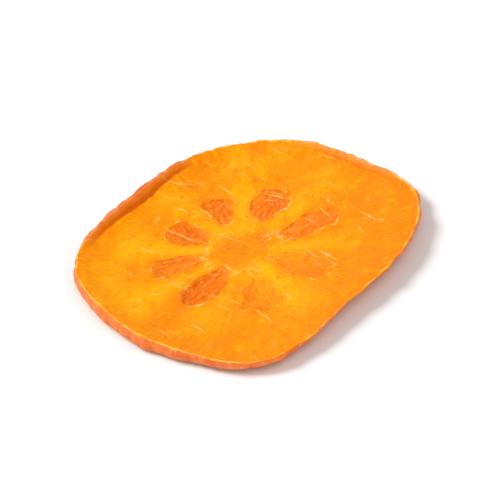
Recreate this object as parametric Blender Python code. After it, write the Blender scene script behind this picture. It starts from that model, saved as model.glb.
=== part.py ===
"""A dried slice of persimmon: one thin, faintly cupped disc that rests on a small flat spot.

The slice starts as a plain coin, one unit in radius, turned from a section once round +Z.
Every point of the coin is then moved to where the slice's surface is.  The plan, the thickness,
the cupping, the curled lips, the lean of the skin and the eight seed chambers are each one short
function of where the point is on the coin.
"""
import math

import bmesh
import bpy
from mathutils import Vector

MM = 0.001

# Plan: a round outline with shallow lobes.  A lobe is (how many, height, degrees of a peak).
MEAN_RADIUS = 30.8 * MM
OUTLINE_LOBES = ((2, 0.020, 13), (3, 0.025, 28), (4, 0.054, -9), (6, 0.008, -22), (7, 0.013, 8))

# Section: the rim that carries the skin is thicker than the flesh at one side, thinner at the other.
FLESH_THICKNESS = 1.9 * MM
RIM_THICKNESS = 1.9 * MM
RIM_THICKNESS_SWING = 0.4 * MM
THICKEST_RIM_AT = 165
RIM_BAND = 4.0 * MM
SKIN_BULGE = 0.35 * MM

# Lean of the skin: how much wider the underside is than the face, all round.
SKIN_LEAN = 0.75 * MM
SKIN_LEANS_OUT_AT = 35
SKIN_TUCKS_UNDER_AT = 300
LEAN_POWER = 3

# Cupping: drying lifts the edge off the table, most at two opposite sides.
FLAT_SPOT_RADIUS = 8.0 * MM
CUP_RISE = 1.5 * MM
CUP_TWIST = 0.8 * MM
CUP_HIGHEST_AT = 135
CUP_ROLL = 0.3 * MM
CUP_ROLL_AT = 100
CUP_POWER = 1.7

# Lips: stretches of the edge that curl up further.  A lip is (degrees, half spread, rise, width);
# its angles are in degrees, its rise and width in mm.
LIPS = ((130, 40, 1.0, 1.5), (40, 34, 0.40, 1.3))
# A lip has its full rise from the edge in to this share of its width.
LIP_CREST_SHARE = 0.25

# Star of seed chambers round the core.  A chamber is (degrees, near end, far end, width, share of
# the full dent), with its lengths in mm.
STAR_CENTRE = Vector((-1.5 * MM, 1.0 * MM))
CHAMBERS = (
    (9, 7.6, 19.0, 6.0, 0.80),
    (57, 8.0, 17.6, 6.8, 0.95),
    (101, 9.2, 17.0, 5.2, 0.95),
    (138, 8.2, 17.0, 6.2, 0.90),
    (177, 7.8, 18.0, 5.4, 0.80),
    (222, 5.4, 17.0, 6.6, 1.00),
    (273, 9.4, 19.0, 7.0, 0.50),
    (318, 6.5, 20.0, 6.4, 0.50),
)
FACE_DENT = 0.45 * MM
UNDERSIDE_DENT = 0.30 * MM
# A dent is full up to the first share of a chamber's half size and gone at the second.
DENT_FULL_TO = 0.35
DENT_GONE_AT = 1.1
# The underside is dented from the edge of the flat spot, fully so at this many times its radius.
UNDERSIDE_DENT_CLEAR = 1.3

# Fineness of the coin
SPOKES = 90
FACE_RINGS = 18
UNDERSIDE_RINGS = 11
RIM_STEPS = (0.925, 0.95, 0.975)
SKIN_STEPS = (0.75, 0.0, -0.75)
SAME_POINT_WITHIN = 1e-5
SHARP_EDGE_DEGREES = 50

FLESH_COLOUR = (0.92, 0.30, 0.003, 1.0)
FLESH_ROUGHNESS = 0.42


def wave(count, angle, peak_degrees):
    """A cosine with this many peaks in a turn, one of them at peak_degrees."""
    return math.cos(count * (angle - math.radians(peak_degrees)))


def smooth_step(low, high, value):
    """0 at low, 1 at high and smooth between; low may be the greater."""
    share = min(max((value - low) / (high - low), 0.0), 1.0)
    return share * share * (3.0 - 2.0 * share)


def outline_radius(angle):
    lobes = sum(height * wave(count, angle, peak) for count, height, peak in OUTLINE_LOBES)
    return MEAN_RADIUS * (1.0 + lobes)


def edge_rise(angle):
    """Height of the underside's edge above the table."""
    return (CUP_RISE + CUP_TWIST * wave(2, angle, CUP_HIGHEST_AT)
            + CUP_ROLL * wave(3, angle, CUP_ROLL_AT))


def cup_height(radius, angle):
    """Height of the underside: nothing over the flat spot, then rising to the edge."""
    beyond = max(radius - FLAT_SPOT_RADIUS, 0.0)
    share = beyond / (outline_radius(angle) - FLAT_SPOT_RADIUS)
    return edge_rise(angle) * share ** CUP_POWER


def lip_height(radius, angle):
    """How far the curled stretches of the edge stand above the rest of the cup."""
    inset = outline_radius(angle) - radius
    height = 0.0
    for degrees, half_spread, rise, width in LIPS:
        turn = math.remainder(angle - math.radians(degrees), math.tau)
        along = 1.0 - smooth_step(0.0, math.radians(half_spread), abs(turn))
        crest = LIP_CREST_SHARE * width * MM
        height += rise * MM * along * smooth_step(width * MM, crest, inset)
    return height


def thickness(radius, angle):
    edge = outline_radius(angle)
    at_edge = RIM_THICKNESS + RIM_THICKNESS_SWING * wave(1, angle, THICKEST_RIM_AT)
    return FLESH_THICKNESS + (at_edge - FLESH_THICKNESS) * smooth_step(edge - RIM_BAND, edge, radius)


def skin_lean(angle):
    lean = wave(2, angle, SKIN_LEANS_OUT_AT) - wave(1, angle, SKIN_TUCKS_UNDER_AT)
    return SKIN_LEAN * lean


def chamber_share(place):
    """The share of the full dent: most in the middle of a seed chamber, 0 between chambers."""
    deepest = 0.0
    spoke = place - STAR_CENTRE
    for degrees, near, far, width, depth in CHAMBERS:
        direction = Vector((math.cos(math.radians(degrees)), math.sin(math.radians(degrees))))
        along = spoke.dot(direction) - 0.5 * (near + far) * MM
        across = direction.cross(spoke)
        apart = math.hypot(along / (0.5 * (far - near) * MM), across / (0.5 * width * MM))
        deepest = max(deepest, depth * (1.0 - smooth_step(DENT_FULL_TO, DENT_GONE_AT, apart)))
    return deepest


def coin_section():
    """Points (radius, level) from the middle of the face, round the edge, to the underside."""
    inner_edge = RIM_STEPS[0]
    face = [(inner_edge * ring / FACE_RINGS, 1.0) for ring in range(FACE_RINGS)]
    face += [(radius, 1.0) for radius in RIM_STEPS]
    underside = [(inner_edge * ring / UNDERSIDE_RINGS, -1.0) for ring in range(UNDERSIDE_RINGS)]
    underside += [(radius, -1.0) for radius in RIM_STEPS]
    side = [(1.0, 1.0)] + [(1.0, level) for level in SKIN_STEPS] + [(1.0, -1.0)]
    return face + side + underside[::-1]


def place_on_slice(point):
    """Move one point of the coin to the slice's surface; the point's z is its level, 1 to -1."""
    level = point.z
    angle = math.atan2(point.y, point.x)
    share = math.hypot(point.x, point.y)
    radius = share * outline_radius(angle)
    depth = 0.5 * (1.0 - level)
    spread = skin_lean(angle) * depth * share ** LEAN_POWER
    bulge = SKIN_BULGE * (1.0 - level * level)
    place = Vector((math.cos(angle), math.sin(angle))) * (radius + spread + bulge)

    height = cup_height(radius, angle) + lip_height(radius, angle)
    height += (1.0 - depth) * thickness(radius, angle)
    dent = chamber_share(place)
    if level == 1.0:
        height -= FACE_DENT * dent
    if level == -1.0:
        clear = UNDERSIDE_DENT_CLEAR * FLAT_SPOT_RADIUS
        height += UNDERSIDE_DENT * dent * smooth_step(FLAT_SPOT_RADIUS, clear, radius)
    return Vector((place.x, place.y, height))


def turn_coin():
    """Spin the section once round +Z into a closed coin."""
    coin = bmesh.new()
    points = [coin.verts.new((radius, 0.0, level)) for radius, level in coin_section()]
    edges = [coin.edges.new(pair) for pair in zip(points, points[1:])]
    bmesh.ops.spin(coin, geom=points + edges, cent=(0, 0, 0), axis=(0, 0, 1),
                   angle=math.tau, steps=SPOKES, use_merge=True)
    bmesh.ops.remove_doubles(coin, verts=coin.verts, dist=SAME_POINT_WITHIN)
    bmesh.ops.recalc_face_normals(coin, faces=coin.faces)
    return coin


def stand_on_origin(slice_mesh):
    """Put the middle of the slice's plan on the origin; its flat spot is already on the table."""
    xs = [vert.co.x for vert in slice_mesh.verts]
    ys = [vert.co.y for vert in slice_mesh.verts]
    middle = Vector((0.5 * (min(xs) + max(xs)), 0.5 * (min(ys) + max(ys)), 0.0))
    bmesh.ops.translate(slice_mesh, verts=slice_mesh.verts, vec=-middle)


def flesh_material():
    material = bpy.data.materials.new("persimmon_flesh")
    material.use_nodes = True
    material.diffuse_color = FLESH_COLOUR
    finish = material.node_tree.nodes["Principled BSDF"]
    finish.inputs["Base Color"].default_value = FLESH_COLOUR
    finish.inputs["Roughness"].default_value = FLESH_ROUGHNESS
    finish.inputs["Metallic"].default_value = 0.0
    return material


def build_slice():
    shape = turn_coin()
    for vert in shape.verts:
        vert.co = place_on_slice(vert.co)
    stand_on_origin(shape)

    mesh = bpy.data.meshes.new("persimmon_slice")
    shape.to_mesh(mesh)
    shape.free()
    mesh.materials.append(flesh_material())
    mesh.shade_smooth()
    mesh.set_sharp_from_angle(angle=math.radians(SHARP_EDGE_DEGREES))
    piece = bpy.data.objects.new("persimmon_slice", mesh)
    bpy.context.scene.collection.objects.link(piece)


for leftover in list(bpy.data.objects):
    bpy.data.objects.remove(leftover)
build_slice()
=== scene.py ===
# %% [markdown]
# # A dried slice of persimmon
# A flat table persimmon is cut across into rounds and dried until it is tough and supple.  One round
# is one piece of fruit: orange flesh, a core in the middle, and a star of eight seed chambers round
# it.  Drying lifts the edge a little, so the slice rests on a flat spot in the middle.
#
# The packed solid gives the size and the place.  It is loaded first and measured before anything
# else is made, because every size below has to fit it.

# %% Load the solid and measure it
import math

import bpy
import numpy as np
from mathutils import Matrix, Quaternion, Vector


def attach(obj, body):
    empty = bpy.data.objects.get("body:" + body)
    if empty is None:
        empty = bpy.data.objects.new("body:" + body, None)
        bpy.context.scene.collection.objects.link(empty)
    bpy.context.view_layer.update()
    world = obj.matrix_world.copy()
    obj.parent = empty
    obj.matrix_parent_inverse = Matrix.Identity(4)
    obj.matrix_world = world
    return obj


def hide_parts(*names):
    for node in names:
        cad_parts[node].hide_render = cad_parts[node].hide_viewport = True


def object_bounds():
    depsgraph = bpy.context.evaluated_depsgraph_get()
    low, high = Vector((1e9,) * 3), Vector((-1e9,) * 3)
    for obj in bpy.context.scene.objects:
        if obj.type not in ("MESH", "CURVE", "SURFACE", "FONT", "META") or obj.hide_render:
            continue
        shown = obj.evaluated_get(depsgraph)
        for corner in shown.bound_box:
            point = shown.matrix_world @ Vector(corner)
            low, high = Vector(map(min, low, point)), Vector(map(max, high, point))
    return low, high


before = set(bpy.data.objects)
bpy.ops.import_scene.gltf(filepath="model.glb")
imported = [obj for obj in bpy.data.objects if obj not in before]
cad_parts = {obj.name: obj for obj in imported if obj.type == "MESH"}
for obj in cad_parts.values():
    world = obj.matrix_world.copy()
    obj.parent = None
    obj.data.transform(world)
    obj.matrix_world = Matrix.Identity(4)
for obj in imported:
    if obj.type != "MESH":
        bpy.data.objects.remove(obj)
CAD_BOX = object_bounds()
MM = 0.001
CAD_SIZE = CAD_BOX[1] - CAD_BOX[0]
print("packed:", len(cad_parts), "solid,", [round(size / MM, 1) for size in CAD_SIZE], "mm")

# %% [markdown]
# ## The plan of the slice
# A real slice is nearly round, but drying pulls it in between the places where the fruit had its
# four shallow corners.  Tracing it point by point would freeze one outline and hide the idea, so the
# outline is a circle with a few cosine lobes on it, the same ones that the solid has.  Everything is
# worked out with numpy in millimetres, on whole arrays of points at once.

# %% Outline
MEAN_RADIUS = 30.8
# how many lobes, height as a share of the radius, degrees of a peak
OUTLINE_LOBES = ((2, 0.020, 13), (3, 0.025, 28), (4, 0.054, -9), (6, 0.008, -22), (7, 0.013, 8))


def wave(count, angle, peak_degrees):
    """A cosine with this many peaks in a turn, one of them at peak_degrees."""
    return np.cos(count * (angle - math.radians(peak_degrees)))


def outline_radius(angle):
    lobes = sum(height * wave(count, angle, peak) for count, height, peak in OUTLINE_LOBES)
    return MEAN_RADIUS * (1.0 + lobes)


whole_turn = np.linspace(-math.pi, math.pi, 721)
outline = outline_radius(whole_turn)
print("outline radius:", outline.min().round(1), "to", outline.max().round(1), "mm")

# %% [markdown]
# ## The cup and the thickness
# Flesh loses its water and sinks, and the edge lifts off the table, more at two opposite sides.  A
# lattice or a bend modifier could do that, but it would bend the flat spot too.  A formula that is
# zero over the flat spot and rises from there keeps it flat, and it is the solid's own formula, so
# the fine surface lies on the solid to within the depth of a wrinkle.

# %% Cup and thickness
FLESH_THICKNESS = 1.9
RIM_THICKNESS = 1.9
RIM_THICKNESS_SWING = 0.4
THICKEST_RIM_AT = 165
RIM_BAND = 4.0
FLAT_SPOT_RADIUS = 8.0
CUP_RISE = 1.5
CUP_TWIST = 0.8
CUP_HIGHEST_AT = 135
CUP_ROLL = 0.3
CUP_ROLL_AT = 100
CUP_POWER = 1.7


def smooth_step(low, high, value):
    """0 at low, 1 at high and smooth between; low may be the greater."""
    share = np.clip((value - low) / (high - low), 0.0, 1.0)
    return share * share * (3.0 - 2.0 * share)


def cup_height(radius, angle):
    """Height of the underside: nothing over the flat spot, then rising to the edge."""
    beyond = np.maximum(radius - FLAT_SPOT_RADIUS, 0.0)
    rise = CUP_RISE + CUP_TWIST * wave(2, angle, CUP_HIGHEST_AT) + CUP_ROLL * wave(3, angle, CUP_ROLL_AT)
    return rise * (beyond / (outline_radius(angle) - FLAT_SPOT_RADIUS)) ** CUP_POWER


def thickness(radius, angle):
    edge = outline_radius(angle)
    at_edge = RIM_THICKNESS + RIM_THICKNESS_SWING * wave(1, angle, THICKEST_RIM_AT)
    return FLESH_THICKNESS + (at_edge - FLESH_THICKNESS) * smooth_step(edge - RIM_BAND, edge, radius)


for what, measure in (("edge lifts", cup_height), ("rim is", thickness)):
    at_edge = measure(outline, whole_turn)
    print(what, at_edge.min().round(1), "to", at_edge.max().round(1), "mm")

# %% [markdown]
# ## The curled lips and the lean of the skin
# Two stretches of the edge curl up into lips, where the upper side dried faster than the lower.  The
# skin side follows the curve of the fruit that it was cut from, so it leans out at one side of the
# slice and tucks under at the other.  Both could be pulled by hand with proportional editing.  They
# depend only on the heading, though, so a small function of it says the same and can be repeated.

# %% Lips and lean
# degrees, half spread in degrees, rise, width
LARGE_LIP = (130, 40, 1.0, 1.5)
SMALL_LIP = (40, 34, 0.40, 1.3)
SKIN_BULGE = 0.35
SKIN_LEAN = 0.75
SKIN_LEANS_OUT_AT = 35
SKIN_TUCKS_UNDER_AT = 300
LEAN_POWER = 3


def lip_share(angle, lip):
    """1 in the middle of a curled stretch of the edge, falling to 0 at its ends."""
    middle, half_spread = math.radians(lip[0]), math.radians(lip[1])
    apart = np.abs(np.angle(np.exp(1j * (angle - middle))))
    return 1.0 - smooth_step(0.0, half_spread, apart)


def skin_lean(angle):
    lean = wave(2, angle, SKIN_LEANS_OUT_AT) - wave(1, angle, SKIN_TUCKS_UNDER_AT)
    return SKIN_LEAN * lean


lean_round = skin_lean(whole_turn)
print("skin leans:", lean_round.min().round(1), "to", lean_round.max().round(1), "mm")

# %% [markdown]
# ## The star of seed chambers
# Each chamber was a narrow pocket for a seed.  Cut across and dried, it is a sunken teardrop of
# darker, clearer flesh inside a pale thread of membrane.  A teardrop is measured here as a distance:
# how many millimetres a point lies inside the nearest chamber's wall.  A distance can be stored on
# the mesh's points and stays true between them, so the material can draw a line that is much finer
# than the mesh.

# %% Chambers, as distances
STAR_X, STAR_Y = -1.5, 1.0
# degrees round the core, near end, far end, width, strength of dent and colour
CHAMBERS = (
    (9, 7.6, 19.0, 6.0, 0.80),
    (57, 8.0, 17.6, 6.8, 0.95),
    (101, 9.2, 17.0, 5.2, 0.95),
    (138, 8.2, 17.0, 6.2, 0.90),
    (177, 7.8, 18.0, 5.4, 0.80),
    (222, 5.4, 17.0, 6.6, 1.00),
    (273, 9.4, 19.0, 7.0, 0.50),
    (318, 6.5, 20.0, 6.4, 0.50),
)
TEARDROP = 0.35
NARROWEST, WIDEST = 0.5, 1.4
FAR_OUTSIDE = -99.0
NEARLY_ZERO = 1e-6


def chamber_fields(x, y):
    """Depth inside the nearest chamber's wall, distance across it, distance along it, and strength."""
    fields = np.zeros((4,) + x.shape)
    fields[0] = FAR_OUTSIDE
    for degrees, near, far, width, strength in CHAMBERS:
        cosine, sine = math.cos(math.radians(degrees)), math.sin(math.radians(degrees))
        along = (x - STAR_X) * cosine + (y - STAR_Y) * sine - 0.5 * (near + far)
        across = (y - STAR_Y) * cosine - (x - STAR_X) * sine
        half_length = 0.5 * (far - near)
        half_width = 0.5 * width * np.clip(1.0 + TEARDROP * along / half_length, NARROWEST, WIDEST)
        apart = np.hypot(along / half_length, across / half_width) + NEARLY_ZERO
        slope = np.hypot(along / half_length ** 2, across / half_width ** 2) / apart + NEARLY_ZERO
        inside = np.minimum((1.0 - apart) / slope, 0.5 * width)
        nearer = inside > fields[0]
        for row, value in enumerate((inside, across, along, strength)):
            fields[row] = np.where(nearer, value, fields[row])
    return fields


print("chambers:", len(CHAMBERS), "reaching", max(far for _, _, far, _, _ in CHAMBERS), "mm from the core")

# %% [markdown]
# ## Soft irregularity
# Nothing on a dried fruit is even.  Blender has noise textures for materials, but the mesh needs its
# own, and it must come out the same on every run.  A handful of cosines in seeded directions gives a
# smooth undulation of any size, and stretching its coordinates turns it into wrinkles.

# %% Undulation
WAVES = 14


def undulation(x, y, size, seed):
    """A smooth random field with swings of about 1, whose bumps are about this many mm apart."""
    random = np.random.default_rng(seed)
    total = np.zeros(np.shape(x))
    for _ in range(WAVES):
        heading = random.uniform(0.0, math.tau)
        pitch = math.tau / (size * random.uniform(0.7, 1.6))
        phase = random.uniform(0.0, math.tau)
        total += np.cos(pitch * (x * math.cos(heading) + y * math.sin(heading)) + phase)
    return total / math.sqrt(0.5 * WAVES)


def undulations(x, y, layers):
    """The sum of several undulations, each given as its size, its height and its seed."""
    return sum(height * undulation(x, y, size, seed) for size, height, seed in layers)


sample = undulation(*np.meshgrid(np.arange(60.0), np.arange(60.0)), 8.0, 1)
print("undulation: spread", sample.std().round(2), "from", sample.min().round(1), "to", sample.max().round(1))

# %% [markdown]
# ## A fine coin to shape
# The slice could be sculpted, or displaced by a texture, but then the rim, the skin and both faces
# would need separate care.  Here one coin is laid out as rings of points: across the face, down the
# skin and back under.  Rings crowd together towards the edge, where the shape turns fastest.

# %% Rings and spokes
SPOKES = 640
FACE_RINGS = 84
SKIN_RINGS = 18
UNDERSIDE_RINGS = 46
CROWDING = 1.25


def crowded_shares(count):
    """Shares of the radius from the middle to just short of the edge, closer near the edge."""
    return 1.0 - (1.0 - np.arange(1, count) / count) ** CROWDING


face_shares = crowded_shares(FACE_RINGS)
underside_shares = crowded_shares(UNDERSIDE_RINGS)[::-1]
skin_levels = np.cos(np.linspace(0.0, math.pi, SKIN_RINGS + 1))
ring_share = np.concatenate([face_shares, np.ones(SKIN_RINGS + 1), underside_shares])
ring_level = np.concatenate([np.ones(face_shares.size), skin_levels, -np.ones(underside_shares.size)])
spoke_angle = np.arange(SPOKES) * math.tau / SPOKES - math.pi
print("rings:", ring_share.size)

# %% Every point's place on the coin
share = np.append(np.repeat(ring_share, SPOKES), [0.0, 0.0])
level = np.append(np.repeat(ring_level, SPOKES), [1.0, -1.0])
angle = np.append(np.tile(spoke_angle, ring_share.size), [0.0, 0.0])
depth = 0.5 * (1.0 - level)
print("coin:", share.size, "points")

# %% [markdown]
# ## Where each point lies in plan
# The knife leaves an edge that is slightly scalloped, and the skin between the two cut faces has
# shrunk into fine folds.  Both could be displaced by a texture later, but the cup and the lips
# follow the edge.  So these small moves outwards and inwards are made before any height is worked out.

# %% Plan of the fine surface
# spacing, height, seed
SCALLOPS = ((6.0, 0.13, 11), (2.2, 0.028, 12))
SCALLOP_POWER = 12
# spacing, height, slant, seed
SKIN_FOLDS = ((2.4, 0.06, 1.5, 13), (1.0, 0.035, 1.2, 14))

edge_x, edge_y = np.cos(angle) * MEAN_RADIUS, np.sin(angle) * MEAN_RADIUS
round_edge = angle * MEAN_RADIUS
radius = share * (outline_radius(angle) + undulations(edge_x, edge_y, SCALLOPS) * share ** SCALLOP_POWER)
inset = outline_radius(angle) - radius
folds = sum(high * undulation(round_edge, depth * slant, gap, seed) for gap, high, slant, seed in SKIN_FOLDS)
bulge = (SKIN_BULGE + folds) * (1.0 - level * level)
reach = radius + skin_lean(angle) * depth * share ** LEAN_POWER + bulge
plan_x, plan_y = np.cos(angle) * reach, np.sin(angle) * reach
print("plan:", np.ptp(plan_x).round(1), "by", np.ptp(plan_y).round(1), "mm")

# %% [markdown]
# ## Relief inside the chambers
# A chamber is a dent with a puckered floor, one low fold of membrane along its middle, and a raised
# thread round its wall.  The dents could be carved with a Boolean, but a height that follows the
# stored distance has no hard edge.  The teardrops are bent a little first, so no two look alike.

# %% Bend the teardrops and measure them
STAR_WARP = (((5.0, 0.30, 21),), ((5.0, 0.30, 24),))
FOLD_WANDER = ((4.5, 0.5, 33),)
FOLD_SPREAD = 9.0

warp_x, warp_y = (undulations(plan_x, plan_y, layers) for layers in STAR_WARP)
inside, across, along, strength = chamber_fields(plan_x + warp_x, plan_y + warp_y)
fold_offset = across - undulations(along, strength * FOLD_SPREAD, FOLD_WANDER)
print("points inside a chamber:", int((inside > 0.0).sum()))

# %% Chamber relief
DENT_DEPTH = 0.42
FOLD_HEIGHT = 0.09
GROOVE_DEPTH = 0.03
THREAD_HEIGHT = 0.05
PUCKERS = ((1.7, 0.05, 31),)
FINE_PUCKERS = ((0.9, 0.03, 32),)
PUCKER_STRETCH = 1.6


def hump(value, width):
    """1 at zero, falling smoothly to nothing at about twice the width."""
    return np.exp(-(value / width) ** 2)


puckers = undulations(along, across * PUCKER_STRETCH, PUCKERS) + undulations(plan_x, plan_y, FINE_PUCKERS)
fold = FOLD_HEIGHT * hump(fold_offset, 0.45) - GROOVE_DEPTH * hump(np.abs(fold_offset) - 1.0, 0.55)
floor_relief = smooth_step(-0.2, 1.2, inside) * strength * (puckers + fold)
thread_relief = THREAD_HEIGHT * hump(inside + 0.1, 0.30) * strength
chamber_relief = floor_relief + thread_relief - DENT_DEPTH * smooth_step(-1.2, 2.4, inside) * strength
print("chambers:", chamber_relief.min().round(2), "to", chamber_relief.max().round(2), "mm")

# %% [markdown]
# ## Relief of the flesh
# Between the chambers the face is not a plane either.  The flesh has sunk a little inside its rim,
# stands higher round the core, swells here and there, and drying wrinkles run out to the edge.  A
# sculpting brush could draw them, but swells of four sizes added together look just as natural.

# %% Flesh relief
FLESH_SINK = 0.16
CORE_RISE = 0.10
SWELLS = ((11.0, 0.10, 41), (4.5, 0.05, 42), (2.2, 0.028, 44), (1.1, 0.012, 45))
WRINKLES = ((1.7, 0.045, 43),)
WRINKLE_STRETCH = 0.22

star_radius = np.hypot(plan_x - STAR_X, plan_y - STAR_Y)
sunk = CORE_RISE * smooth_step(12.0, 3.0, star_radius) - FLESH_SINK * smooth_step(0.6, 4.5, inset)
swells = undulations(plan_x, plan_y, SWELLS) * smooth_step(0.0, 3.0, inset)
wrinkles = undulations(round_edge, radius * WRINKLE_STRETCH, WRINKLES) * smooth_step(9.0, 1.0, inset)
flesh_relief = sunk + swells + wrinkles
print("flesh:", flesh_relief.min().round(2), "to", flesh_relief.max().round(2), "mm")

# %% [markdown]
# ## Relief of the rim
# At the very edge the skin stands proud, because it shrinks less than the flesh beside it.  Each lip
# rises over its own width and has a crease at its foot.  A bevel would make every stretch alike, so
# the rise follows the lip's share at each heading.

# %% Rim relief
PROUD_EDGE = 0.14
PROUD_SWING = ((4.0, 0.5, 51),)
LIP_UNEVEN = ((3.5, 0.10, 52),)
LIP_CREST_SHARE = 0.25
CREASE_SHARE = 0.25
CREASE_AT = 1.05


def curl_and_crease(lip):
    """How far a lip stands up, and how deep the crease at its foot is."""
    rise, width = lip[2:]
    stands = rise * lip_share(angle, lip)
    uneven = 1.0 + undulations(edge_x, edge_y, LIP_UNEVEN)
    curl = stands * uneven * smooth_step(width, LIP_CREST_SHARE * width, inset)
    return curl, CREASE_SHARE * stands * hump(inset - CREASE_AT * width, 0.45)


proud = PROUD_EDGE * hump(inset, 0.40) * (1.0 + undulations(edge_x, edge_y, PROUD_SWING))
large_curl, large_crease = curl_and_crease(LARGE_LIP)
small_curl, small_crease = curl_and_crease(SMALL_LIP)
print("lips:", large_curl.max().round(2), "and", small_curl.max().round(2), "mm high")

# %% [markdown]
# ## Heights of the two faces
# The slice is thin and has sunk from both sides, so the underside has the same dents and swells as
# the face, only shallower and turned over.  It could be mirrored from the face, but the flat spot has
# to be left alone, and nothing may go below the table.  Points on the skin lie in proportion between
# the two faces.

# %% Heights
UNDERSIDE_DENT = 0.30
UNDERSIDE_CHAMBERS = 0.15
UNDERSIDE_FLESH = 0.4
UNDERSIDE_EDGE = 0.3
SPOT_CLEAR = 1.5

base = cup_height(radius, angle) + large_curl + small_curl
rim_relief = proud - large_crease - small_crease
face_height = base + thickness(radius, angle) + flesh_relief + chamber_relief + rim_relief

dents = UNDERSIDE_DENT * strength * smooth_step(-0.5, 2.0, inside) - UNDERSIDE_CHAMBERS * chamber_relief
from_below = dents - UNDERSIDE_FLESH * flesh_relief - UNDERSIDE_EDGE * proud
beyond_spot = smooth_step(FLAT_SPOT_RADIUS, SPOT_CLEAR * FLAT_SPOT_RADIUS, radius)
under_height = np.maximum(base + beyond_spot * from_below, 0.0)
height = under_height + (1.0 - depth) * (face_height - under_height)
print("height:", height.min().round(2), "to", height.max().round(2), "mm")

# %% [markdown]
# ## One closed mesh
# The fruit has one unbroken surface.  Separate discs and a band could be bridged, but joining the
# rings by quads and the two middles by fans gives it in one go.  The middle of its plan goes where
# the middle of the solid's plan is.

# %% Faces of the coin
def coin_faces():
    """Quads between neighbouring rings and a fan round each middle, all facing out."""
    face_centre, underside_centre = share.size - 2, share.size - 1
    spoke = np.arange(SPOKES)
    following = (spoke + 1) % SPOKES
    faces = [(face_centre, a, b) for a, b in zip(spoke.tolist(), following.tolist())]
    for ring in range(ring_share.size - 1):
        inner, outer = ring * SPOKES, (ring + 1) * SPOKES
        corners = np.stack([inner + spoke, outer + spoke, outer + following, inner + following], axis=1)
        faces += corners.tolist()
    last = (ring_share.size - 1) * SPOKES
    faces += [(underside_centre, last + b, last + a) for a, b in zip(spoke.tolist(), following.tolist())]
    return faces


print("faces:", len(coin_faces()))

# %% Build the mesh
def centred(points):
    """Move the points so that the middle of their plan is the middle of the solid's plan."""
    middle = 0.5 * (points.min(axis=0) + points.max(axis=0))
    target = 0.5 * (CAD_BOX[0] + CAD_BOX[1]) / MM
    return points + np.array([target.x - middle[0], target.y - middle[1], 0.0])


points = centred(np.stack([plan_x, plan_y, height], axis=1))
mesh = bpy.data.meshes.new("persimmon_round")
mesh.from_pydata((points * MM).tolist(), [], coin_faces())
mesh.validate()
mesh.shade_smooth()
print("mesh:", len(mesh.polygons), "faces,", [round(size, 2) for size in np.ptp(points, axis=0)], "mm")

# %% [markdown]
# ## Numbers for the material, and a place in the frame
# The distances worked out above go onto the points as attributes, in millimetres, for the material
# to read.  UV maps could carry them too, but only two at a time.  Then the piece is put under the
# body that it moves with, and the solid that it stands for is hidden.

# %% Store the fields and place the piece
STORED = {
    "inside": inside,
    "across": across,
    "fold": fold_offset,
    "along": along,
    "strength": strength,
    "inset": inset,
    "level": level,
    "large_lip": lip_share(angle, LARGE_LIP),
    "small_lip": lip_share(angle, SMALL_LIP),
    "star_x": plan_x - STAR_X,
    "star_y": plan_y - STAR_Y,
}
for name, values in STORED.items():
    mesh.attributes.new(name, "FLOAT", "POINT").data.foreach_set("value", values.astype(np.float32))

persimmon = bpy.data.objects.new("persimmon_round", mesh)
bpy.context.scene.collection.objects.link(persimmon)
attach(persimmon, "root")
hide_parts("persimmon_slice")
print("stored:", ", ".join(STORED))

# %% [markdown]
# ## Arithmetic on shader sockets
# A finish like this is mostly sums of masks, and a sum is easier to read as a sum than as twenty
# nodes wired by hand.  The class below wraps a socket so that `1 - mask * 0.5` adds the Math nodes
# by itself.

# %% Sockets that can be added and multiplied
class Field:
    """One output socket, which takes part in sums, products and comparisons."""

    def __init__(self, recipe, socket):
        self.recipe = recipe
        self.socket = socket

    def math(self, operation, *values):
        return self.recipe.node("ShaderNodeMath", {"operation": operation}, dict(enumerate(values)))

    def __add__(self, other):
        return self.math("ADD", self, other)

    def __sub__(self, other):
        return self.math("SUBTRACT", self, other)

    def __rsub__(self, other):
        return self.math("SUBTRACT", other, self)

    def __mul__(self, other):
        return self.math("MULTIPLY", self, other)

    def __truediv__(self, other):
        return self.math("DIVIDE", self, other)

    def __pow__(self, power):
        return self.math("POWER", self, power)

    def __abs__(self):
        return self.math("ABSOLUTE", self)

    __radd__ = __add__
    __rmul__ = __mul__

    def top(self, other):
        return self.math("MAXIMUM", self, other)

    def step(self, low, high):
        """0 at low, 1 at high and smooth between; low may be the greater."""
        settings = {"interpolation_type": "SMOOTHSTEP", "clamp": True}
        return self.recipe.node("ShaderNodeMapRange", settings, {0: self, 1: low, 2: high})

    def line(self, width, wear=0.0):
        """1 where the field is zero, gone at this distance from it; wear from 0 to 1 thins it away."""
        return (abs(self) + wear * width).step(width, 0.25 * width)


print("a Field can do:", [name for name in vars(Field) if not name.startswith("_")])

# %% [markdown]
# ## One way to add a node
# Every other node comes from one method, which takes its type, its settings and the values or links
# of its sockets, in that order, because a setting can change which sockets a node has.  A material
# and a sky are both trees of nodes, so one class serves for both.

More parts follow.
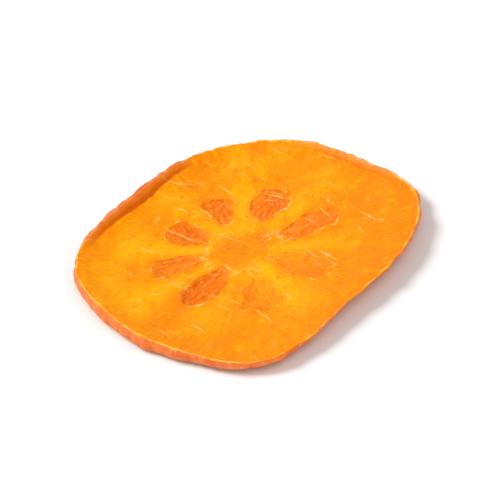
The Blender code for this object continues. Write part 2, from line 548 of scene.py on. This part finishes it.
# %% A recipe of nodes
class Recipe:
    """The nodes of a material or a sky, added one at a time."""

    def __init__(self, owner):
        owner.use_nodes = True
        self.owner = owner
        self.tree = owner.node_tree

    def feed(self, socket, value):
        if isinstance(value, Field):
            self.tree.links.new(value.socket, socket)
        else:
            socket.default_value = value

    def set_shader(self, values):
        shader = self.tree.nodes["Principled BSDF"]
        for name, value in values.items():
            self.feed(shader.inputs[name], value)

    def node(self, kind, settings, inputs, output=0):
        made = self.tree.nodes.new(kind)
        for name, value in settings.items():
            setattr(made, name, value)
        for name, value in inputs.items():
            self.feed(made.inputs[name], value)
        return Field(self, made.outputs[output])

    def stored(self, name):
        """A number stored on the mesh's points."""
        return self.node("ShaderNodeAttribute", {"attribute_name": name}, {}, "Fac")

    def place(self, x, y, z):
        return self.node("ShaderNodeCombineXYZ", {}, {0: x, 1: y, 2: z})

    def noise(self, place, scale, detail=3.0, roughness=0.5):
        """Noise from about 0 to 1, with 0.5 in the middle."""
        inputs = {"Vector": place, "Scale": scale, "Detail": detail, "Roughness": roughness}
        return self.node("ShaderNodeTexNoise", {}, inputs, "Fac")

    def cells(self, place, scale):
        """Distance from the middle of the nearest of many scattered cells."""
        return self.node("ShaderNodeTexVoronoi", {}, {"Vector": place, "Scale": scale}, "Distance")

    def blend(self, mask, under, over):
        """Colour under where the mask is 0, colour over where it is 1."""
        settings = {"data_type": "RGBA", "clamp_factor": True}
        return self.node("ShaderNodeMix", settings, {0: mask, 6: under, 7: over}, 2)

    def layered(self, colour, layers):
        """Lay colours over a first one, each given as its mask, its weight and its colour."""
        for mask, weight, over in layers:
            colour = self.blend(mask * weight, colour, over)
        return colour


flesh = Recipe(bpy.data.materials.new("persimmon_flesh"))
print("a new material has:", flesh.tree.nodes.keys())

# %% [markdown]
# ## The colours
# Dried persimmon is one of the most saturated things in a kitchen: almost no blue comes back from
# it.  The flesh runs from yellow orange to deep orange, the chambers are redder, the skin is a salmon
# that leans to red, and fibres and membranes are pale.  Some colours also paint light: a pale glow
# along the face's edge, pink and salmon highlights, and red shade in creases and hollows.  One colour
# ramp could hold them all, but each is laid by its own mask, so each has its own name.  All are
# linear values.

# %% Colours
def orange(red, green, blue):
    return (red, green, blue, 1.0)


FLESH_LIGHT = orange(0.94, 0.385, 0.001)
FLESH_MIDDLE = orange(0.91, 0.290, 0.001)
FLESH_DEEP = orange(0.86, 0.205, 0.001)
RAY_YELLOW = orange(0.98, 0.460, 0.002)
FLECK_YELLOW = orange(1.00, 0.500, 0.012)
CORE_ORANGE = orange(0.87, 0.245, 0.001)
CHAMBER_ORANGE = orange(0.92, 0.160, 0.002)
# chamber red: the chambers' own red seam, and painted shade on one wall, in grooves and in sunken puckers
CHAMBER_RED_AND_SHADE = orange(0.66, 0.075, 0.002)
# chamber pink: the chambers' own pink along the membrane fold, and painted highlight on raised puckers
CHAMBER_PINK_AND_HIGHLIGHT = orange(1.00, 0.300, 0.060)
MEMBRANE_PALE = orange(1.00, 0.640, 0.190)
SPECK_BROWN = orange(0.42, 0.080, 0.004)
SKIN_SALMON = orange(0.95, 0.225, 0.055)
# skin red: the skin's own red mottling, and painted shade between its folds and in the lips' creases
SKIN_RED_AND_SHADE = orange(0.72, 0.105, 0.006)
# pale salmon for painted highlights, on the lips' crests and on the skin's raised folds
SKIN_HIGHLIGHT = orange(0.98, 0.360, 0.130)
# pale edge colour: painted glow where light comes through the thin edge
EDGE_GLOW = orange(1.00, 0.560, 0.110)
print("flesh, light to deep:", FLESH_LIGHT[:3], FLESH_MIDDLE[:3], FLESH_DEEP[:3])

# %% [markdown]
# ## Mottling and fibres
# Fibres run out from the core through flesh that is mottled in soft patches.  An angle would jump
# where the turn closes and leave a seam in the noise, so the fibres are looked up on a circle instead.

# %% Places that the finish is drawn in
star_x, star_y = flesh.stored("star_x"), flesh.stored("star_y")
face_level = flesh.stored("level")
flat_place = flesh.place(star_x, star_y, face_level * 3.0)
from_core = (star_x * star_x + star_y * star_y) ** 0.5
heading_x, heading_y = star_x / from_core, star_y / from_core
radial_place = flesh.place(heading_x * 14.0, heading_y * 14.0, from_core * 0.16)
print("places:", len(flesh.tree.nodes), "nodes")

# %% Noise of several sizes
mottle = flesh.noise(flat_place, 0.10, 4.0, 0.55)
patches = flesh.noise(flat_place, 0.30, 5.0, 0.65)
flecks = flesh.noise(flat_place, 1.7, 3.0, 0.6)
grain = flesh.noise(flat_place, 2.6, 4.0, 0.6)
wear = flesh.noise(flat_place, 0.45, 4.0, 0.6)
fine_wear = flesh.noise(flat_place, 1.1, 3.0, 0.6)
edge_noise = flesh.noise(flat_place, 0.6, 3.0) - 0.5
fibres = flesh.noise(radial_place, 1.0, 4.0, 0.6)
fine_fibres = flesh.noise(radial_place, 3.2, 3.0, 0.6)
print("with noise:", len(flesh.tree.nodes), "nodes")

# %% [markdown]
# ## Rays between the chambers
# Between the chambers the flesh is clear and yellow, in rays, and outside each chamber it is deeper.
# A wave texture would space them evenly.  These are uneven on the fruit, so each ray is measured as
# the angle from its own heading, which never jumps near it.

# %% Rays
# degrees round the core, strength
RAYS = ((-67, 1.0), (-18, 0.5), (33, 0.5), (80, 0.6), (120, 0.5), (157, 0.8), (200, 0.7), (244, 0.4))


def strongest(masks):
    """The highest of several masks at each place."""
    first, *others = masks
    for mask in others:
        first = first.top(mask)
    return first


def turned(degrees):
    """Signed angle from this heading, in radians, without a jump anywhere near it."""
    cosine, sine = math.cos(math.radians(degrees)), math.sin(math.radians(degrees))
    aside = heading_y * cosine - heading_x * sine
    ahead = heading_x * cosine + heading_y * sine
    return aside.math("ARCTAN2", aside, ahead)


rays = strongest(abs(turned(degrees)).step(0.20, 0.02) * weight for degrees, weight in RAYS)
rays = rays * from_core.step(4.5, 8.0) * from_core.step(27.0, 13.0)
behind_chambers = strongest(abs(turned(chamber[0])).step(0.30, 0.06) * chamber[4] for chamber in CHAMBERS)
behind_chambers = behind_chambers * from_core.step(15.0, 19.0) * from_core.step(31.0, 21.0)
print("rays:", len(RAYS))

# %% [markdown]
# ## Strands
# Tough fibres that the blade pulled out of the flesh have dried pale.  Curve objects could be laid
# on the face, but the fibres are part of it.  So the longest are drawn one by one, as arcs round the
# core that wander a little and wear away in places.

# %% Strands
# first and last degrees round the core, first and last radius, strength
STRANDS = (
    (3, 59, 20.3, 17.3, 1.0),
    (195, 208, 22.6, 21.8, 0.8),
    (238, 265, 16.6, 21.4, 0.8),
    (-11, -2, 29.4, 22.8, 0.7),
    (100, 109, 21.7, 26.2, 0.5),
    (66, 74, 20.0, 20.4, 0.6),
    (142, 214, 7.0, 7.4, 0.9),
    (170, 184, 20.8, 21.6, 0.5),
    (128, 150, 20.6, 19.4, 0.4),
    (285, 310, 24.5, 22.5, 0.3),
)
STRAND_WIDTH = 0.50

strand_wander = (flesh.noise(flat_place, 0.30, 4.0) - 0.5) * 2.4
strand_wear = flesh.noise(flat_place, 0.5, 3.0).step(0.68, 0.42)


def strand(first, last, first_radius, last_radius, weight):
    """A thin arc round the core whose radius changes from one end to the other."""
    half_turn = math.radians(last - first) / 2
    middle_radius = (first_radius + last_radius) / 2
    climb = (last_radius - first_radius) / 2 / half_turn
    gone = turned((first + last) / 2)
    off = (from_core - middle_radius - gone * climb + strand_wander) / math.hypot(1.0, climb / middle_radius)
    return off.line(STRAND_WIDTH, strand_wear) * abs(gone).step(half_turn, half_turn * 0.6) * weight


long_strands = strongest(strand(*row) for row in STRANDS)
print("strands:", len(STRANDS))

# %% [markdown]
# ## Knife marks
# The blade also left many short pale marks, which all run the way it went.  Too many to place one by
# one, they are noise that is stretched along the blade's heading and cut off high, which leaves thin
# separate streaks.

# %% Knife marks
KNIFE_HEADING = math.radians(-50)
KNIFE_BOW = 0.006
KNIFE_WANDER = 5.0
OTHER_SLICE_OF_NOISE = 7.0

knife_cosine, knife_sine = math.cos(KNIFE_HEADING), math.sin(KNIFE_HEADING)
along_knife = star_x * knife_cosine + star_y * knife_sine
across_knife = star_y * knife_cosine - star_x * knife_sine
bowed = across_knife + along_knife * along_knife * KNIFE_BOW + (mottle - 0.5) * KNIFE_WANDER
fine_place = flesh.place(along_knife * 0.10, bowed * 1.25, face_level)
broad_place = flesh.place(along_knife * 0.07, bowed * 0.45, face_level + OTHER_SLICE_OF_NOISE)
fine_marks = flesh.noise(fine_place, 1.0, 2.0).step(0.63, 0.76)
broad_marks = flesh.noise(broad_place, 1.0, 3.0).step(0.66, 0.80)
strands = long_strands.top(fine_marks.top(broad_marks * 0.6) * 0.75)
print("knife marks run at", round(math.degrees(KNIFE_HEADING)), "degrees")

# %% [markdown]
# ## Masks for the chambers
# A chamber's colour starts softly outside its wall and deepens inside, and along one side a redder
# band is painted shade on the dent's wall.  A painted map could hold that, but the stored distance
# already says where the wall is.  Noise added to it makes the wall ragged, and the thread of membrane
# is drawn where it passes zero.

# %% The wall and what follows it
WALL_WANDER = 3.4

wall = flesh.stored("inside") + (flesh.noise(flat_place, 0.32, 4.0, 0.65) - 0.5) * WALL_WANDER
across_field = flesh.stored("across")
chamber_strength = flesh.stored("strength")
halo = wall.step(-2.4, 2.2) * chamber_strength
in_chamber = wall.step(-0.9, 1.5) * chamber_strength
clear_chamber = in_chamber * chamber_strength.step(0.45, 0.90)
# painted shade: one side of each chamber is darker red, as if its wall were shaded
painted_wall_shade = in_chamber * (across_field + (wear - 0.5) * 4.0).step(0.4, -2.4)
thread = (wall + 0.30).line(0.42, wear.step(0.66, 0.46)) * chamber_strength
seam = (wall - 0.35).line(0.70, wear.step(0.38, 0.56)) * chamber_strength
print("with chamber walls:", len(flesh.tree.nodes), "nodes")

# %% What lies on a chamber's floor
fold_field = flesh.stored("fold")
fold_line = fold_field.line(0.50, fine_wear.step(0.62, 0.44)) * in_chamber
# painted shade: darker red in the grooves on both sides of the fold
painted_groove_shade = (abs(fold_field) - 0.85).line(0.75, fine_wear.step(0.40, 0.60) * 0.8) * in_chamber
pucker_place = flesh.place(flesh.stored("along") * 0.55, across_field * 1.1, chamber_strength * 30.0)
pucker_noise = flesh.noise(pucker_place, 0.9, 5.0, 0.7)
# painted highlight in pink on the raised puckers, and painted shade in red in the sunken ones
raised_pucker_highlight = pucker_noise.step(0.50, 0.66) * in_chamber
sunken_pucker_shade = pucker_noise.step(0.46, 0.32) * in_chamber
crumb_noise = flesh.noise(flat_place, 2.3, 2.0)
crumbs = crumb_noise.step(0.62, 0.72) * (wall - 0.4).line(1.6) * chamber_strength.step(0.85, 1.0)
print("with chamber floors:", len(flesh.tree.nodes), "nodes")

# %% [markdown]
# ## Masks for the core
# The core is a solid orange disc inside a brighter ring.  On two sides of it the ends of the
# membranes curl up as fine pale squiggles.  Drawn as curves they would look too tidy, so a squiggle
# is where a smooth noise passes its middle value, which looks like a crumpled film seen edge on.

# %% Core masks
CORE_RING_RADIUS = 7.0
CURLS_AT = 6.5

core = (from_core + (patches - 0.5) * 6.0).step(7.5, 3.0)
core_ring = (from_core - CORE_RING_RADIUS + (mottle - 0.5) * 5.0).line(1.6)
curls_x = star_x - CURLS_AT
curls_right = ((curls_x * curls_x + star_y * star_y * 1.4) ** 0.5).step(4.5, 2.0)
curls_left = core_ring * abs(turned(200)).step(1.9, 1.2)
squiggles = (flesh.noise(flat_place, 0.42, 2.0) - 0.5).line(0.030) * curls_right.top(curls_left)
pale_lines = thread.top(strands).top(squiggles * 0.7)
print("with the core:", len(flesh.tree.nodes), "nodes")

# %% [markdown]
# ## Masks for the skin and the edge
# The skin starts over the edge, and it shows on top of the curled lips too, down to the crease at
# their foot, where a dark red line is painted shade.  Along the face's edge a thin pale line is
# painted glow, where light comes through the thin edge.  A second material on the band's faces could
# not follow the lips, so the skin is a mask in the same material.

# %% Lips in the material
inset_field = flesh.stored("inset")
large_lip, small_lip = flesh.stored("large_lip"), flesh.stored("small_lip")
large_width, small_width = LARGE_LIP[3], SMALL_LIP[3]

large_skin = (inset_field - large_width * 0.50 + edge_noise * 0.7).step(0.3, -0.3) * large_lip.step(0.1, 0.4)
small_skin = (inset_field - small_width * 0.6 + edge_noise).step(0.4, -0.4) * small_lip.step(0.1, 0.5)
lip_skin = large_skin.top(small_skin * 0.6)
# painted shade: a dark line along the crease at the foot of each curled lip
large_lip_foot_shade = (inset_field - large_width + edge_noise * 0.5).line(0.7) * large_lip.step(0.1, 0.5)
small_lip_foot_shade = (inset_field - small_width).line(0.5) * small_lip.step(0.1, 0.6)
painted_crease_shade = large_lip_foot_shade.top(small_lip_foot_shade * 0.5)
print("with the lips:", len(flesh.tree.nodes), "nodes")

# %% Skin and edge masks
on_face = face_level.step(0.80, 0.97)
on_underside = face_level.step(-0.80, -0.97)
skin = (1.0 - on_face.top(on_underside)).top(lip_skin * on_face)
# painted highlight: a pale line along the crest of each curled lip
painted_crest_highlight = (inset_field - 0.5 + edge_noise * 0.8).line(0.6, wear.step(0.60, 0.42) * 0.6) * lip_skin * on_face
# painted glow: a thin pale line along the face's edge
painted_edge_glow = (inset_field - 0.10).line(0.42, wear.step(0.62, 0.40) * 0.6) * (1.0 - lip_skin) * on_face
print("with the skin:", len(flesh.tree.nodes), "nodes")

# %% [markdown]
# ## Laying the colours
# A painter would start with the flesh and work up to the finest lines, and so does this.  Each layer
# is a mask, a weight and a colour, in a table that can be read from the bottom of the paint to the
# top.  The order is the point: chambers cover the mottling, and pale fibres cover the chambers.

# %% Flesh colour
deep_right = (star_x - star_y * 0.35 + (mottle - 0.5) * 22.0).step(2.0, 30.0)
deep_below = ((mottle - 0.5) * 16.0 - star_y).step(8.0, 30.0)
near_rim = (inset_field + (wear - 0.5) * 6.0).step(6.0, 0.5)

FLESH_LAYERS = (
    (mottle.step(0.36, 0.54), 1.00, FLESH_LIGHT),
    (deep_right.top(deep_below * 0.7), 0.70, FLESH_DEEP),
    (near_rim, 0.40, FLESH_DEEP),
    (core, 0.80, CORE_ORANGE),
    (behind_chambers, 0.55, FLESH_DEEP),
    (core_ring, 0.50, FLESH_LIGHT),
    (rays, 1.00, RAY_YELLOW),
    (fibres.step(0.52, 0.70), 0.35, FLESH_LIGHT),
    (fine_fibres.step(0.50, 0.28), 0.35, FLESH_DEEP),
    (patches.step(0.48, 0.32), 0.65, FLESH_DEEP),
    (patches.step(0.54, 0.70), 0.55, RAY_YELLOW),
)
flesh_colour = flesh.layered(FLESH_MIDDLE, FLESH_LAYERS)
print("flesh:", len(FLESH_LAYERS), "layers")

# %% Chamber colour
CHAMBER_LAYERS = (
    (halo, 0.65, CHAMBER_ORANGE),
    (clear_chamber, 0.65, CHAMBER_ORANGE),
    # painted shade along one wall of each chamber
    (painted_wall_shade, 0.40, CHAMBER_RED_AND_SHADE),
    # painted shade in the grooves beside the fold
    (painted_groove_shade, 0.20, CHAMBER_RED_AND_SHADE),
    # painted shade in the sunken puckers
    (sunken_pucker_shade, 0.30, CHAMBER_RED_AND_SHADE),
    # painted highlight on the raised puckers
    (raised_pucker_highlight, 0.60, CHAMBER_PINK_AND_HIGHLIGHT),
    (seam, 0.50, CHAMBER_RED_AND_SHADE),
    (crumbs, 0.60, SPECK_BROWN),
    (fold_line, 0.60, CHAMBER_PINK_AND_HIGHLIGHT),
)
star_colour = flesh.layered(flesh_colour, CHAMBER_LAYERS)
print("chambers:", len(CHAMBER_LAYERS), "layers")

# %% Flecks, specks and pale lines
specks = flesh.cells(flat_place, 0.95).step(0.15, 0.07) * flesh.noise(flat_place, 0.28, 2.0).step(0.48, 0.62)

FINE_LAYERS = (
    (flecks.step(0.56, 0.70), 0.45, FLECK_YELLOW),
    (flecks.step(0.44, 0.30), 0.40, CHAMBER_ORANGE),
    (specks, 0.45, SPECK_BROWN),
    (pale_lines, 0.80, MEMBRANE_PALE),
    # painted shade: dark red in the creases at the foot of the lips
    (painted_crease_shade, 0.80, SKIN_RED_AND_SHADE),
)
face_colour = flesh.layered(star_colour, FINE_LAYERS)
print("fine marks:", len(FINE_LAYERS), "layers")

# %% [markdown]
# ## Colour of the skin
# The skin is salmon, mottled with red, and its folds catch the light as pale streaks that run from
# face to face: painted highlights on the raised folds, and painted shade in red between them.  One
# colour over a bumpy band would look like plastic.  The noise for the streaks is looked up on a circle
# too, and hardly changes from face to face, so it is drawn out into streaks.

# %% Skin colour
SKIN_CIRCLE = 30.0

skin_x, skin_y = heading_x * SKIN_CIRCLE, heading_y * SKIN_CIRCLE
skin_mottle = flesh.noise(flesh.place(skin_x, skin_y, face_level * 2.0), 0.25, 4.0, 0.6)
fold_relief_and_light = flesh.noise(flesh.place(skin_x, skin_y, face_level * 0.5), 0.9, 4.0, 0.65)
SKIN_LAYERS = (
    (skin_mottle.step(0.42, 0.64), 0.50, SKIN_RED_AND_SHADE),
    # painted highlights on the raised folds of the skin
    (fold_relief_and_light.step(0.52, 0.68), 0.60, SKIN_HIGHLIGHT),
    # painted shade between the folds of the skin
    (fold_relief_and_light.step(0.46, 0.32), 0.50, SKIN_RED_AND_SHADE),
    # painted highlight on the lips' crests
    (painted_crest_highlight, 0.90, SKIN_HIGHLIGHT),
)
skin_colour = flesh.layered(SKIN_SALMON, SKIN_LAYERS)
# the skin, then painted glow along the face's edge
colour = flesh.layered(face_colour, ((skin, 1.00, skin_colour), (painted_edge_glow, 0.80, EDGE_GLOW)))
print("skin:", len(SKIN_LAYERS), "layers")

# %% [markdown]
# ## Gloss and grain
# Dried flesh has a soft, slightly sticky gloss: brighter in the chambers, duller on the skin.  Grain
# finer than the mesh is a bump, since a mesh fine enough for it would be many times as heavy.  Light
# passes into the flesh, so subsurface scattering is set on the shader; it is the same all over, and
# so it is set as plain numbers.

# %% Roughness and bump
granules = flesh.cells(flat_place, 1.6)
roughness = 0.44 - 0.12 * in_chamber + (grain - 0.5) * 0.16 + 0.06 * skin

# how far each mark stands up, in mm
BUMPS = (
    (grain, 0.05),
    (fine_fibres, 0.05),
    (fibres, 0.05),
    (strands, 0.06),
    (thread, 0.05),
    (granules * in_chamber, -0.10),
    (raised_pucker_highlight, 0.04),
    (sunken_pucker_shade, -0.04),
    (fold_line, 0.03),
    (patches, 0.10),
    (fold_relief_and_light * skin, 0.30),
)
bump_height = sum(mark * stands_up for mark, stands_up in BUMPS)
normal = flesh.node("ShaderNodeBump", {}, {"Strength": 1.0, "Distance": MM, "Height": bump_height})
print("bump: sum of", len(BUMPS), "marks")

# %% The shader
flesh.set_shader({
    "Base Color": colour,
    "Roughness": roughness,
    "Normal": normal,
    "Specular IOR Level": 0.24,
    "Specular Tint": (1.0, 0.50, 0.10, 1.0),
    "Subsurface Weight": 0.35,
    "Subsurface Radius": (1.0, 0.35, 0.05),
    "Subsurface Scale": 1.6 * MM,
})
mesh.materials.append(flesh.owner)
print("finish:", len(flesh.tree.nodes), "nodes")

# %% [markdown]
# ## A white table
# The slice lies on a plain white table that runs out to the horizon.  A curved paper sweep would
# hide the horizon too, but only from the front.  A wide flat plane under a white sky looks the same
# from every side.

# %% Table
TABLE_HALF = 3.0
TABLE_WHITE = (0.90, 0.90, 0.90, 1.0)
TABLE_CORNERS = ((-1, -1), (1, -1), (1, 1), (-1, 1))

white = Recipe(bpy.data.materials.new("table_white"))
white.set_shader({"Base Color": TABLE_WHITE, "Roughness": 0.9})
table_mesh = bpy.data.meshes.new("table_top")
table_mesh.from_pydata([(x * TABLE_HALF, y * TABLE_HALF, 0) for x, y in TABLE_CORNERS], [], [(0, 1, 2, 3)])
table_mesh.materials.append(white.owner)
table = bpy.data.objects.new("table_top", table_mesh)
bpy.context.scene.collection.objects.link(table)
print("table:", 2.0 * TABLE_HALF, "m square")

# %% [markdown]
# ## The sky
# A white sky gives a white background, but it also puts a white sheen on the fruit that washes out
# the orange.  So the sky is seen as white and lights the slice as a grey: a Light Path node tells the
# two kinds of ray apart.

# %% Sky
BACKDROP_WHITE = (1.0, 1.0, 1.0, 1.0)
SKY_GREY = (0.42, 0.42, 0.42, 1.0)

sky = Recipe(bpy.data.worlds.new("studio"))
seen = sky.node("ShaderNodeLightPath", {}, {}, "Is Camera Ray")
sky.feed(sky.tree.nodes["Background"].inputs["Color"], sky.blend(seen, SKY_GREY, BACKDROP_WHITE))
bpy.context.scene.world = sky.owner
bpy.context.scene.view_settings.view_transform = "Standard"
print("sky lights with", SKY_GREY[0])

# %% [markdown]
# ## Soft lamps
# The key lamp stands behind and to the left, and a wider one fills in from the front.  Area lamps
# would light a patch of the table and leave the rest grey.  Suns light it evenly out to the horizon,
# and the width of their discs makes the edges of the shadows soft.

# %% Lamps
# name, direction of the lamp, width of its disc in degrees, strength
LAMPS = (
    ("key_lamp", (-0.50, 0.28, 0.62), 28.0, 2.35),
    ("fill_lamp", (0.4, -0.6, 0.7), 60.0, 1.0),
)

for name, towards, disc_degrees, strength_of_lamp in LAMPS:
    light = bpy.data.lights.new(name, "SUN")
    light.angle = math.radians(disc_degrees)
    light.energy = strength_of_lamp
    lamp = bpy.data.objects.new(name, light)
    lamp.rotation_euler = Vector(towards).to_track_quat("Z", "Y").to_euler()
    bpy.context.scene.collection.objects.link(lamp)
    print(name, "at", strength_of_lamp, "W/m2")

# %% [markdown]
# ## The camera
# The camera looks down on the face from about forty degrees and is rolled a little, so that the
# slice seems to tip.  Close up with a short lens, the near edge would swell.  So it stands well back
# with a long one, which is worked out from how wide a stretch it should take in.

# %% Camera
CAMERA_ELEVATION = math.radians(39.0)
CAMERA_ROLL = math.radians(15.5)
CAMERA_DISTANCE = 0.70
VIEW_WIDTH = 0.094

camera_data = bpy.data.cameras.new("camera")
camera_data.lens = camera_data.sensor_width * CAMERA_DISTANCE / VIEW_WIDTH
camera = bpy.data.objects.new("camera", camera_data)
back = Vector((0.0, -math.cos(CAMERA_ELEVATION), math.sin(CAMERA_ELEVATION)))
camera.location = 0.5 * (CAD_BOX[0] + CAD_BOX[1]) + back * CAMERA_DISTANCE
upright = (-back).to_track_quat("-Z", "Y")
camera.rotation_mode = "QUATERNION"
camera.rotation_quaternion = upright @ Quaternion((0.0, 0.0, 1.0), -CAMERA_ROLL)
bpy.context.scene.collection.objects.link(camera)
bpy.context.scene.camera = camera
print("lens:", round(camera_data.lens), "mm")

# %% [markdown]
# ## The scene is complete
